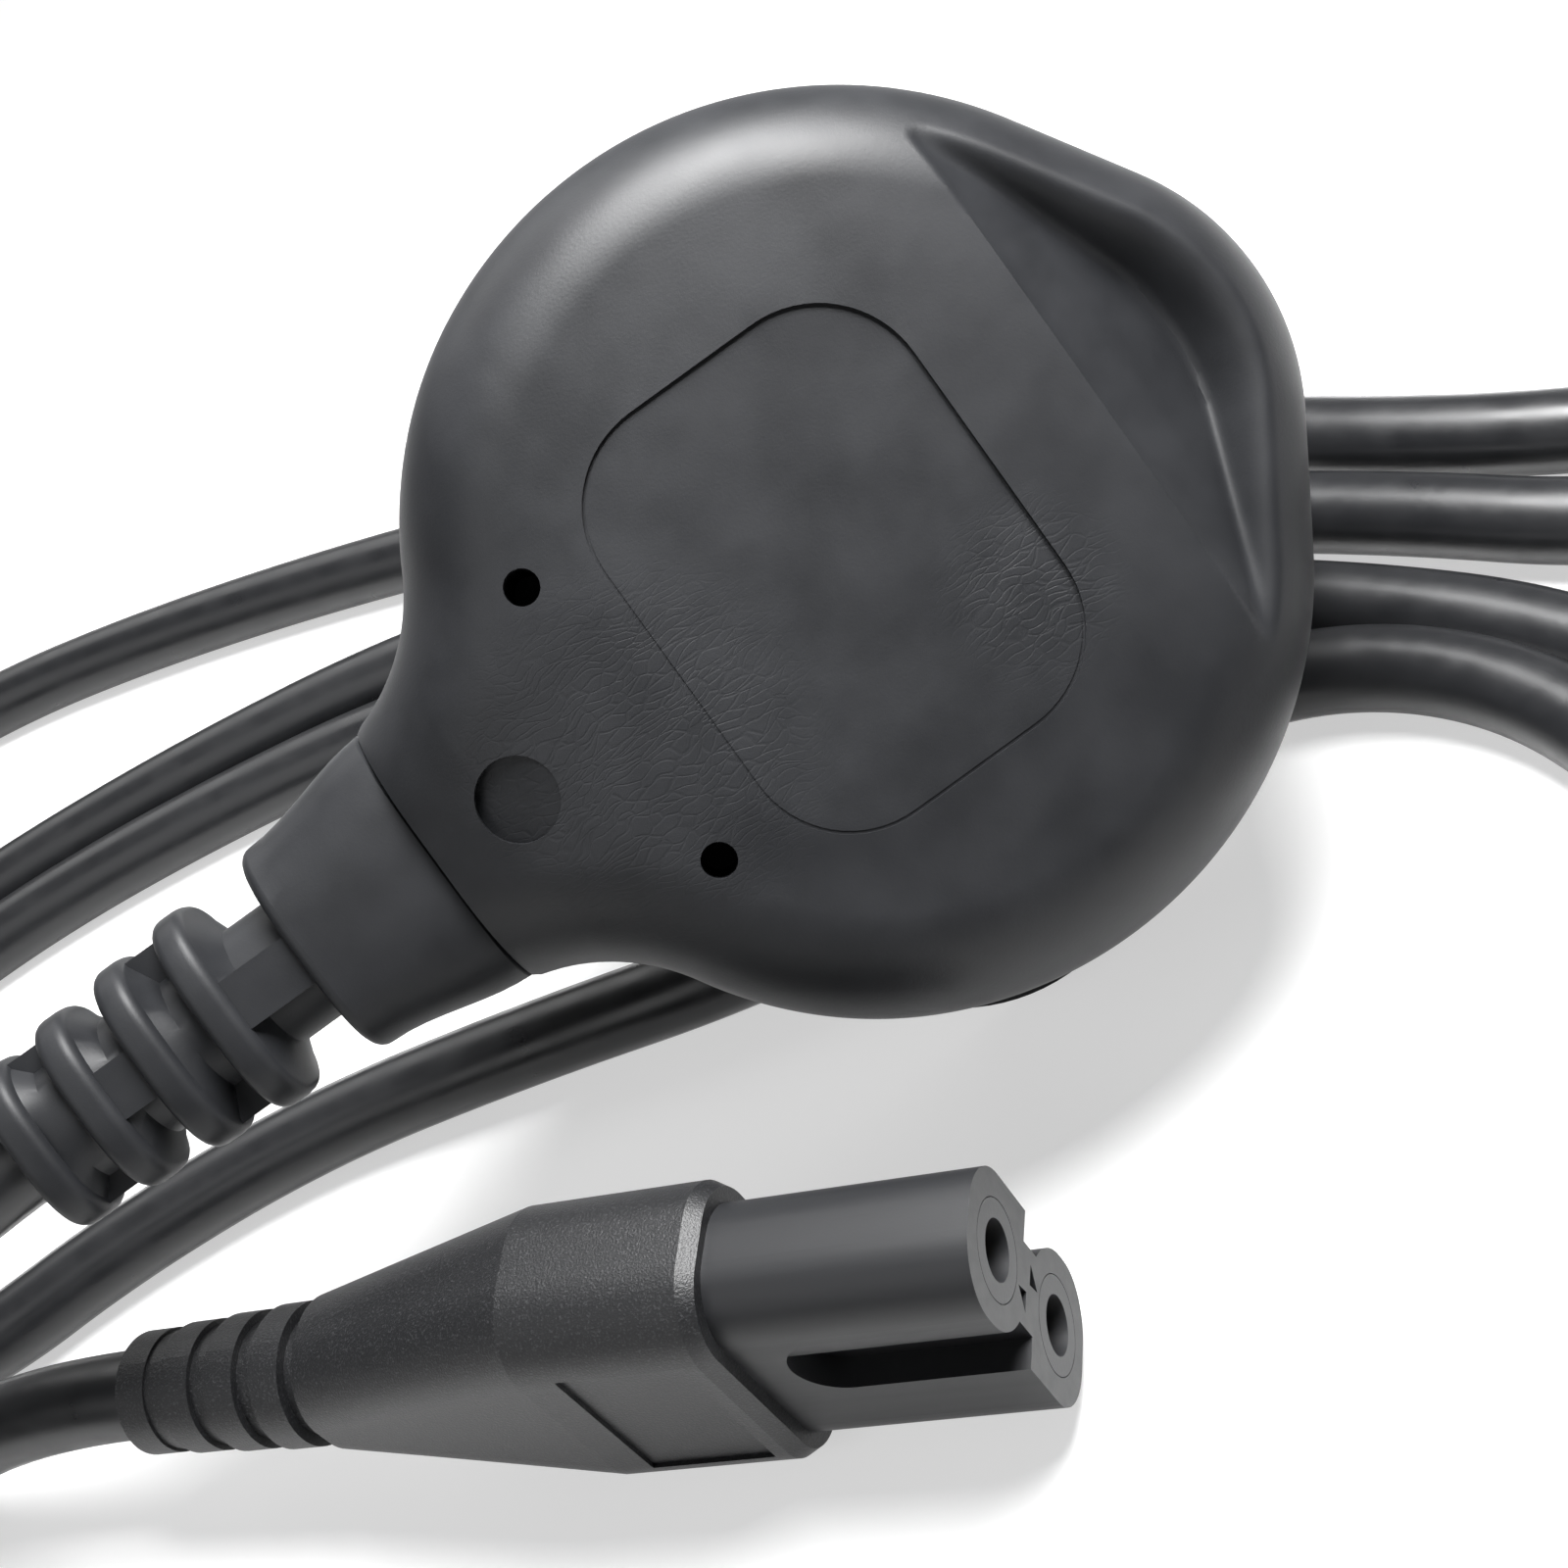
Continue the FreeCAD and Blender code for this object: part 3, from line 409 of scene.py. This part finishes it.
def coverShell():
    shell = meshPiece("coverShell", *coverGrid())
    above = coverSet["height"] + coverSet["cutterOver"]
    holeX, holeY = coverSet["holeAt"]
    cutters = [
        prism(f"holeCutter{side}", circle(holeX, side * holeY, coverSet["holeRadius"]),
              lambda x, y: coverSet["height"] - coverSet["holeDeep"], above)
        for side in (-1, 1)
    ]
    markX, markY = coverSet["markAt"]
    lean = math.tan(math.radians(coverSet["markTilt"]))
    markFloor = coverTop(markX, markY) - coverSet["markDeep"]
    bottomLean = (coverTop(markX + 1, markY) - coverTop(markX - 1, markY)) / 2 + lean
    cutters.append(prism("markCutter", circle(markX, markY, coverSet["markRadius"]),
                         lambda x, y: markFloor + bottomLean * (x - markX), above))
    cutters.append(prism("labelCutter", labelOutline(),
                         lambda x, y: coverSet["height"] - coverSet["labelDeep"], above))
    half = coverSet["grooveHalf"]
    cutters.append(band("grooveCutter", labelOutline(half), labelOutline(-half),
                        coverSet["height"] - coverSet["grooveDeep"], above))
    cutAway(shell, cutters)
    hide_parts("plug_cover")
    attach(shell, "lead")
    return shell


# the neck and its bending rings, rounder at the edges than the part's own, mm
reliefSet = {
    "height": 9.0,
    "seam": -20.2,
    "neckEnd": -30.0,
    "end": -50.0,
    "seamHalf": (8.55, 6.5),  # half width across and half thickness
    "neckHalf": (7.0, 5.8),
    "core": 4.0,
    "rings": 5,
    "ring": 2.2,
    "edge": 0.7,
    "shrink": 0.055,
    "around": 72,
    "webHalf": 1.6,
    "webSink": 0.4,  # how far a web runs into the rings beside it
    "webInset": 0.5,
    "square": (3.2, 2.8),  # squareness of the section at the seam and at the rings
    "oval": 2.0,  # squareness of an ellipse
    "seamEdge": 0.25,
    "foot": 0.9,  # run of the slope from the core up to a ring
    "capShare": 0.6,
    "neckSteps": 8,
    "edgeSteps": 5,
}
ringPitch = (reliefSet["end"] - reliefSet["neckEnd"] + reliefSet["ring"]) / (reliefSet["rings"] - 1)


def oblongPoint(angle, halfY, halfZ, power):
    reach = (abs(math.cos(angle)) ** power + abs(math.sin(angle)) ** power) ** (-1 / power)
    return halfY * reach * math.cos(angle), halfZ * reach * math.sin(angle)


def reliefLoops():
    # sections from the cover's end to the last ring: place, half width, half thickness, squareness
    (wideY, wideZ), (endY, endZ) = reliefSet["seamHalf"], reliefSet["neckHalf"]
    seam, back, core, edge = reliefSet["seam"], reliefSet["neckEnd"], reliefSet["core"], reliefSet["edge"]
    (seamSquare, ringSquare), oval = reliefSet["square"], reliefSet["oval"]
    bevel, cap = reliefSet["seamEdge"], reliefSet["capShare"] * core
    loops = [
        (seam, cap, cap, oval),
        (seam, wideY - bevel, wideZ - bevel, seamSquare),
        (seam - bevel, wideY, wideZ, seamSquare),
    ]
    for step in range(1, reliefSet["neckSteps"] + 1):
        share = step / reliefSet["neckSteps"]
        fall = eased(share)
        square = seamSquare + (ringSquare - seamSquare) * share
        loops.append((seam + (back + edge - seam) * share, wideY + (endY - wideY) * fall,
                      wideZ + (endZ - wideZ) * fall, square))

    def rolled(x, halfY, halfZ, closing):
        # a rounded edge down to the core or up from it
        turns = [math.radians(90 * n / reliefSet["edgeSteps"]) for n in range(reliefSet["edgeSteps"] + 1)]
        for turn in turns if closing else reversed(turns):
            inward = edge * (1 - math.cos(turn))
            along = edge * math.sin(turn)
            loops.append((x - along if closing else x + along, halfY - inward, halfZ - inward, ringSquare))

    rolled(back + edge, endY, endZ, True)
    for number in range(1, reliefSet["rings"]):
        size = 1 - reliefSet["shrink"] * number
        front = back + number * ringPitch
        rear = front - reliefSet["ring"]
        loops.append((loops[-1][0], core, core, oval))
        loops.append((front + reliefSet["foot"], core, core, oval))
        rolled(front - edge, endY * size, endZ * size, False)
        rolled(rear + edge, endY * size, endZ * size, True)
    loops.append((reliefSet["end"], cap, cap, oval))
    return loops


def reliefShell():
    around, loops = reliefSet["around"], reliefLoops()
    points, faces = [], []
    for x, halfY, halfZ, power in loops:
        for number in range(around):
            y, z = oblongPoint(2 * math.pi * number / around, halfY, halfZ, power)
            points.append((x, y, reliefSet["height"] + z))
    for row in range(len(loops) - 1):
        for number in range(around):
            after = (number + 1) % around
            near, far = row * around, (row + 1) * around
            faces.append((near + number, near + after, far + after, far + number))
    faces.append(tuple(reversed(range(around))))
    faces.append(tuple(range((len(loops) - 1) * around, len(loops) * around)))
    addWebs(points, faces)
    shell = meshPiece("reliefShell", points, faces)
    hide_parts("strain_relief")
    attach(shell, "lead")
    return shell


def addWebs(points, faces):
    # webs between the rings, flat and upright by turns
    (endY, endZ), half = reliefSet["neckHalf"], reliefSet["webHalf"]
    sink, inset = reliefSet["webSink"], reliefSet["webInset"]
    for number in range(1, reliefSet["rings"]):
        size = 1 - reliefSet["shrink"] * number
        front = reliefSet["neckEnd"] + number * ringPitch
        gap = -ringPitch if number == 1 else -ringPitch - reliefSet["ring"]
        reachY, reachZ = (half, endZ * size - inset) if number % 2 else (endY * size - inset, half)
        start = len(points)
        for x in (front - sink, front + gap + sink):
            for y, z in ((-reachY, -reachZ), (reachY, -reachZ), (reachY, reachZ), (-reachY, reachZ)):
                points.append((x, y, reliefSet["height"] + z))
        for quad in ((0, 1, 2, 3), (7, 6, 5, 4), (0, 4, 5, 1), (1, 5, 6, 2), (2, 6, 7, 3), (3, 7, 4, 0)):
            faces.append(tuple(start + corner for corner in quad))


coverPiece = coverShell()
reliefPiece = reliefShell()
print("cover shaped:", len(coverPiece.data.polygons), "faces")


class Finish:
    # one material and short ways to add nodes to it
    def __init__(self, name):
        self.material = bpy.data.materials.new(name)
        self.material.use_nodes = True
        self.nodes = self.material.node_tree.nodes
        self.links = self.material.node_tree.links
        self.shader = self.nodes["Principled BSDF"]

    def add(self, kind, **settings):
        node = self.nodes.new(kind)
        for word, value in settings.items():
            setattr(node, word, value)
        return node

    def join(self, start, end):
        self.links.new(start, end)

    def where(self, at, lean, axis):
        # coordinates in millimetres in the frame of one end of the lead
        coords = self.add("ShaderNodeTexCoord")
        mapping = self.add("ShaderNodeMapping", vector_type="TEXTURE")
        mapping.inputs["Location"].default_value = Vector(at) * mm
        turn = [0.0, 0.0, 0.0]
        turn["XYZ".index(axis)] = math.radians(lean)
        mapping.inputs["Rotation"].default_value = turn
        mapping.inputs["Scale"].default_value = (mm, mm, mm)
        self.join(coords.outputs["Object"], mapping.inputs["Vector"])
        return mapping.outputs["Vector"]

    def plug(self):
        return self.where(plugRest["at"], plugRest["lean"], "X")

    def connector(self):
        return self.where(connectorRest["at"], connectorRest["turn"], "Z")

    def noise(self, vector, scale, detail=3.0, roughness=0.55):
        node = self.add("ShaderNodeTexNoise")
        node.inputs["Scale"].default_value = scale
        node.inputs["Detail"].default_value = detail
        node.inputs["Roughness"].default_value = roughness
        self.join(vector, node.inputs["Vector"])
        return node.outputs["Fac"]

    def stretched(self, vector, scale, turn=0.0):
        node = self.add("ShaderNodeMapping")
        node.inputs["Scale"].default_value = scale
        node.inputs["Rotation"].default_value = (0, 0, math.radians(turn))
        self.join(vector, node.inputs["Vector"])
        return node.outputs["Vector"]

    def remap(self, value, low, high, toLow, toHigh, smooth=False):
        node = self.add("ShaderNodeMapRange")
        if smooth:
            node.interpolation_type = "SMOOTHSTEP"
        self.join(value, node.inputs["Value"])
        for word, number in (("From Min", low), ("From Max", high), ("To Min", toLow), ("To Max", toHigh)):
            node.inputs[word].default_value = number
        return node.outputs["Result"]

    def maths(self, word, one, two):
        node = self.add("ShaderNodeMath", operation=word)
        for socket, value in zip(node.inputs, (one, two)):
            if isinstance(value, (int, float)):
                socket.default_value = value
            else:
                self.join(value, socket)
        return node.outputs[0]

    def near(self, vector, point, inner, outer):
        # 1 within the inner distance of a point, falling to 0 at the outer one
        node = self.add("ShaderNodeVectorMath", operation="DISTANCE")
        self.join(vector, node.inputs[0])
        node.inputs[1].default_value = point
        return self.remap(node.outputs["Value"], inner, outer, 1.0, 0.0, True)

    def bump(self, height, strength, depth, before=None):
        node = self.add("ShaderNodeBump")
        node.inputs["Strength"].default_value = strength
        node.inputs["Distance"].default_value = depth * mm
        self.join(height, node.inputs["Height"])
        if before:
            self.join(before, node.inputs["Normal"])
        return node.outputs["Normal"]

    def tint(self, value, look):
        # a Mix node's colour sockets share their names, so they are found by number
        ramp = self.add("ShaderNodeMix", data_type="RGBA")
        ramp.inputs[6].default_value = (*look["dark"], 1)
        ramp.inputs[7].default_value = (*look["light"], 1)
        self.join(value, ramp.inputs[0])
        self.join(ramp.outputs[2], self.shader.inputs["Base Color"])

    def rough(self, value, low, high):
        # roughness that follows the middle of a noise
        self.join(self.remap(value, 0.3, 0.7, low, high), self.shader.inputs["Roughness"])

    def surface(self, normal):
        self.join(normal, self.shader.inputs["Normal"])

    def plain(self, specular, roughness=None, metal=0.0):
        self.shader.inputs["Specular IOR Level"].default_value = specular
        self.shader.inputs["Metallic"].default_value = metal
        if roughness is not None:
            self.shader.inputs["Roughness"].default_value = roughness


# In every look a noise is scale, detail and roughness, and a bump is strength and depth in mm.
# satin cover, creased between the two small holes, where the moulding shrank
coverLook = {
    "dark": (0.0120, 0.0126, 0.0142),
    "light": (0.0175, 0.0183, 0.0205),
    "roughness": (0.42, 0.52),
    "specular": 0.32,
    "mottle": 0.16,
    "mottleSpan": (0.35, 0.68),
    "grain": (5.0, 4.0, 0.7),
    "grainBump": (0.22, 0.05),
    "wobbleScale": 0.22,
    "wobble": (3.0, 3.0, 0.0),
    "creaseStretch": (0.75, 2.3, 0.2),
    "creaseTurn": 12,
    "creaseWidth": 0.13,
    "creaseBump": (0.32, 0.04),
    "creaseAt": (-7.5, -2.0, 21.0),
    "creaseSize": (4.0, 12.5),
    "secondAt": (14.5, -7.0, 22.0),
    "secondSize": (1.5, 6.5),
}


def creaseHeight(finish, spot):
    # crooked cells stretched along the cover, shown in two patches only
    wobble = finish.add("ShaderNodeVectorMath", operation="MULTIPLY_ADD")
    shift = finish.add("ShaderNodeTexNoise")
    shift.inputs["Scale"].default_value = coverLook["wobbleScale"]
    finish.join(spot, shift.inputs["Vector"])
    finish.join(shift.outputs["Color"], wobble.inputs[0])
    wobble.inputs[1].default_value = coverLook["wobble"]
    finish.join(spot, wobble.inputs[2])
    creases = finish.add("ShaderNodeTexVoronoi", feature="DISTANCE_TO_EDGE")
    creases.inputs["Scale"].default_value = 1.0
    cells = finish.stretched(wobble.outputs[0], coverLook["creaseStretch"], coverLook["creaseTurn"])
    finish.join(cells, creases.inputs["Vector"])
    lines = finish.remap(creases.outputs["Distance"], 0.0, coverLook["creaseWidth"], 0.0, 1.0, True)
    first = finish.near(spot, coverLook["creaseAt"], *coverLook["creaseSize"])
    second = finish.near(spot, coverLook["secondAt"], *coverLook["secondSize"])
    mask = finish.maths("MAXIMUM", first, second)
    return finish.maths("MULTIPLY", finish.maths("SUBTRACT", lines, 1.0), mask)


def coverFinish():
    finish = Finish("satinPvc")
    spot = finish.plug()
    mottle = finish.noise(spot, coverLook["mottle"])
    finish.tint(finish.remap(mottle, *coverLook["mottleSpan"], 0.0, 1.0), coverLook)
    finish.rough(mottle, *coverLook["roughness"])
    skin = finish.bump(finish.noise(spot, *coverLook["grain"]), *coverLook["grainBump"])
    finish.surface(finish.bump(creaseHeight(finish, spot), *coverLook["creaseBump"], skin))
    finish.plain(coverLook["specular"])
    return finish.material


# spark eroded grain on the handle
handleLook = {
    "dark": (0.007, 0.0073, 0.0083),
    "light": (0.034, 0.0345, 0.037),
    "grain": (7.5, 2.0, 0.6),
    "specks": (0.55, 0.72),
    "bump": (0.5, 0.08),
    "roughness": 0.46,
    "specular": 0.5,
}


def handleFinish():
    finish = Finish("grainedPvc")
    speck = finish.noise(finish.connector(), *handleLook["grain"])
    finish.tint(finish.remap(speck, *handleLook["specks"], 0.0, 1.0), handleLook)
    finish.surface(finish.bump(speck, *handleLook["bump"]))
    finish.plain(handleLook["specular"], handleLook["roughness"])
    return finish.material


# smooth moulded nose, faint flow lines along it
noseLook = {
    "dark": (0.0105, 0.0109, 0.0122),
    "light": (0.0145, 0.0151, 0.0168),
    "flowStretch": (0.05, 1.0, 1.0),
    "flow": (0.9, 3.0),
    "grain": (9.0, 2.0),
    "bump": (0.12, 0.03),
    "roughness": (0.44, 0.5),
    "specular": 0.4,
}


def noseFinish():
    finish = Finish("smoothMoulding")
    spot = finish.connector()
    flow = finish.noise(finish.stretched(spot, noseLook["flowStretch"]), *noseLook["flow"])
    finish.tint(flow, noseLook)
    finish.rough(flow, *noseLook["roughness"])
    finish.surface(finish.bump(finish.noise(spot, *noseLook["grain"]), *noseLook["bump"]))
    finish.plain(noseLook["specular"])
    return finish.material


# smooth sheath with a soft gloss
cordLook = {
    "dark": (0.009, 0.0093, 0.0104),
    "light": (0.014, 0.0145, 0.0160),
    "mottle": (0.35, 3.0),
    "grain": (3.0, 2.0),
    "bump": (0.1, 0.04),
    "roughness": (0.27, 0.4),
    "specular": 0.5,
}


def cordFinish():
    finish = Finish("sheathPvc")
    spot = finish.plug()
    mottle = finish.noise(spot, *cordLook["mottle"])
    finish.tint(mottle, cordLook)
    finish.rough(mottle, *cordLook["roughness"])
    finish.surface(finish.bump(finish.noise(spot, *cordLook["grain"]), *cordLook["bump"]))
    finish.plain(cordLook["specular"])
    return finish.material


# stamped brass with drawn lines and dull patches
brassLook = {
    "dark": (0.42, 0.29, 0.11),
    "light": (0.62, 0.46, 0.2),
    "drawnStretch": (6.0, 6.0, 0.25),
    "drawn": (1.0, 3.0),
    "dull": (0.5, 3.0),
    "bump": (0.15, 0.02),
    "roughness": (0.2, 0.42),
    "specular": 0.5,
}


def brassFinish():
    finish = Finish("stampedBrass")
    spot = finish.plug()
    drawn = finish.noise(finish.stretched(spot, brassLook["drawnStretch"]), *brassLook["drawn"])
    finish.tint(drawn, brassLook)
    finish.rough(finish.noise(spot, *brassLook["dull"]), *brassLook["roughness"])
    finish.surface(finish.bump(drawn, *brassLook["bump"]))
    finish.plain(brassLook["specular"], metal=1.0)
    return finish.material


# plain fine-grained pieces
linerLook = {
    "dark": (0.016, 0.0164, 0.018),
    "light": (0.026, 0.0265, 0.029),
    "grain": (4.0, 3.0),
    "bump": (0.2, 0.03),
    "roughness": 0.5,
    "specular": 0.45,
}
moulded = {"grain": (3.2, 4.0, 0.65), "bump": (0.25, 0.05), "specular": 0.45}
bridgeLook = {**moulded, "dark": (0.011, 0.0112, 0.0122), "light": (0.019, 0.0194, 0.021), "roughness": 0.42}
sleeveLook = {**moulded, "dark": (0.014, 0.0142, 0.0152), "light": (0.022, 0.0224, 0.024), "roughness": 0.38}
ceramicLook = {**moulded, "dark": (0.62, 0.6, 0.55), "light": (0.76, 0.74, 0.69), "roughness": 0.25}
brownLook = {**moulded, "dark": (0.09, 0.035, 0.014), "light": (0.13, 0.052, 0.02), "roughness": 0.35}
blueLook = {**moulded, "dark": (0.014, 0.06, 0.24), "light": (0.02, 0.085, 0.32), "roughness": 0.35}


def grainFinish(name, look, onPlug=True):
    finish = Finish(name)
    grain = finish.noise(finish.plug() if onPlug else finish.connector(), *look["grain"])
    finish.tint(grain, look)
    finish.surface(finish.bump(grain, *look["bump"]))
    finish.plain(look["specular"], look["roughness"])
    return finish.material


finishes = {
    "cover_pvc": coverFinish(),
    "handle_pvc": handleFinish(),
    "nose_pvc": noseFinish(),
    "liner_plastic": grainFinish("linerPlastic", linerLook, onPlug=False),
    "cord_pvc": cordFinish(),
    "bridge_plastic": grainFinish("bridgePlastic", bridgeLook),
    "sleeve_plastic": grainFinish("sleevePlastic", sleeveLook),
    "pin_brass": brassFinish(),
    "fuse_ceramic": grainFinish("fuseCeramic", ceramicLook),
    "brown_core": grainFinish("brownCore", brownLook),
    "blue_core": grainFinish("blueCore", blueLook),
}
print("finishes made:", len(finishes))


smoothAngle = 32  # degrees, sharper edges stay crisp


def dressNodes():
    slots = {entry["node"]: entry["material_slot"] for entry in frame["record"]["subparts"]}
    for name, piece in [*nodes.items(), ("plug_cover", coverPiece), ("strain_relief", reliefPiece)]:
        piece.data.materials.clear()
        piece.data.materials.append(finishes[slots[name]])
        bpy.ops.object.select_all(action="DESELECT")
        piece.select_set(True)
        bpy.context.view_layer.objects.active = piece
        bpy.ops.object.shade_smooth_by_angle(angle=math.radians(smoothAngle))
    roundCord.data.materials.append(finishes["cord_pvc"])


dressNodes()
print("nodes dressed")

# plain pale floor and soft studio light
stageSet = {
    "floorSize": 4.0,  # metres
    "floorCells": 8,
    "floorColour": 0.5,
    "floorRoughness": 0.9,
    "floorSpecular": 0.1,
    "worldLight": 0.12,
    "floorGlow": 0.55,  # what the camera sees of the floor beyond the lamps' light
    "lamps": [  # name, place and width in metres, power in watts
        ("keyLamp", (0.075, 0.02, 0.195), 0.12, 1.5),
        ("fillLamp", (-0.5, -0.3, 0.5), 0.6, 1.1),
        ("backLamp", (-0.1, 0.6, 0.45), 0.5, 1.2),
    ],
}


def makeStage():
    cells = stageSet["floorCells"]
    bpy.ops.mesh.primitive_grid_add(x_subdivisions=cells, y_subdivisions=cells, size=stageSet["floorSize"])
    floor = bpy.context.object
    floor.name = "paleFloor"
    white = Finish("paleFloor")
    white.shader.inputs["Base Color"].default_value = (*[stageSet["floorColour"]] * 3, 1)
    white.plain(stageSet["floorSpecular"], stageSet["floorRoughness"])
    white.shader.inputs["Emission Color"].default_value = (1, 1, 1, 1)
    seen = white.add("ShaderNodeLightPath")
    clear = white.maths("MAXIMUM", seen.outputs["Is Camera Ray"], seen.outputs["Is Transmission Ray"])
    shown = white.maths("MAXIMUM", clear, seen.outputs["Is Glossy Ray"])
    glow = white.maths("MULTIPLY", shown, stageSet["floorGlow"])
    white.join(glow, white.shader.inputs["Emission Strength"])
    floor.data.materials.append(white.material)
    world = bpy.data.worlds.new("studio")
    bpy.context.scene.world = world
    world.use_nodes = True
    tree = world.node_tree
    sky = tree.nodes["Background"]
    sky.inputs["Color"].default_value = (1, 1, 1, 1)
    rays = tree.nodes.new("ShaderNodeLightPath")
    pick = tree.nodes.new("ShaderNodeMapRange")
    pick.inputs["To Min"].default_value = stageSet["worldLight"]
    pick.inputs["To Max"].default_value = 1.0
    tree.links.new(rays.outputs["Is Camera Ray"], pick.inputs["Value"])
    tree.links.new(pick.outputs["Result"], sky.inputs["Strength"])
    for name, place, wide, power in stageSet["lamps"]:
        lamp = bpy.data.lights.new(name, "AREA")
        lamp.shape = "DISK"
        lamp.size = wide
        lamp.energy = power
        holder = bpy.data.objects.new(name, lamp)
        holder.location = place
        holder.visible_camera = False
        holder.rotation_euler = (-Vector(place)).to_track_quat("-Z", "Y").to_euler()
        bpy.context.scene.collection.objects.link(holder)


makeStage()
bpy.context.scene.view_settings.view_transform = "Standard"
print("stage lit")

bpy.context.view_layer.update()
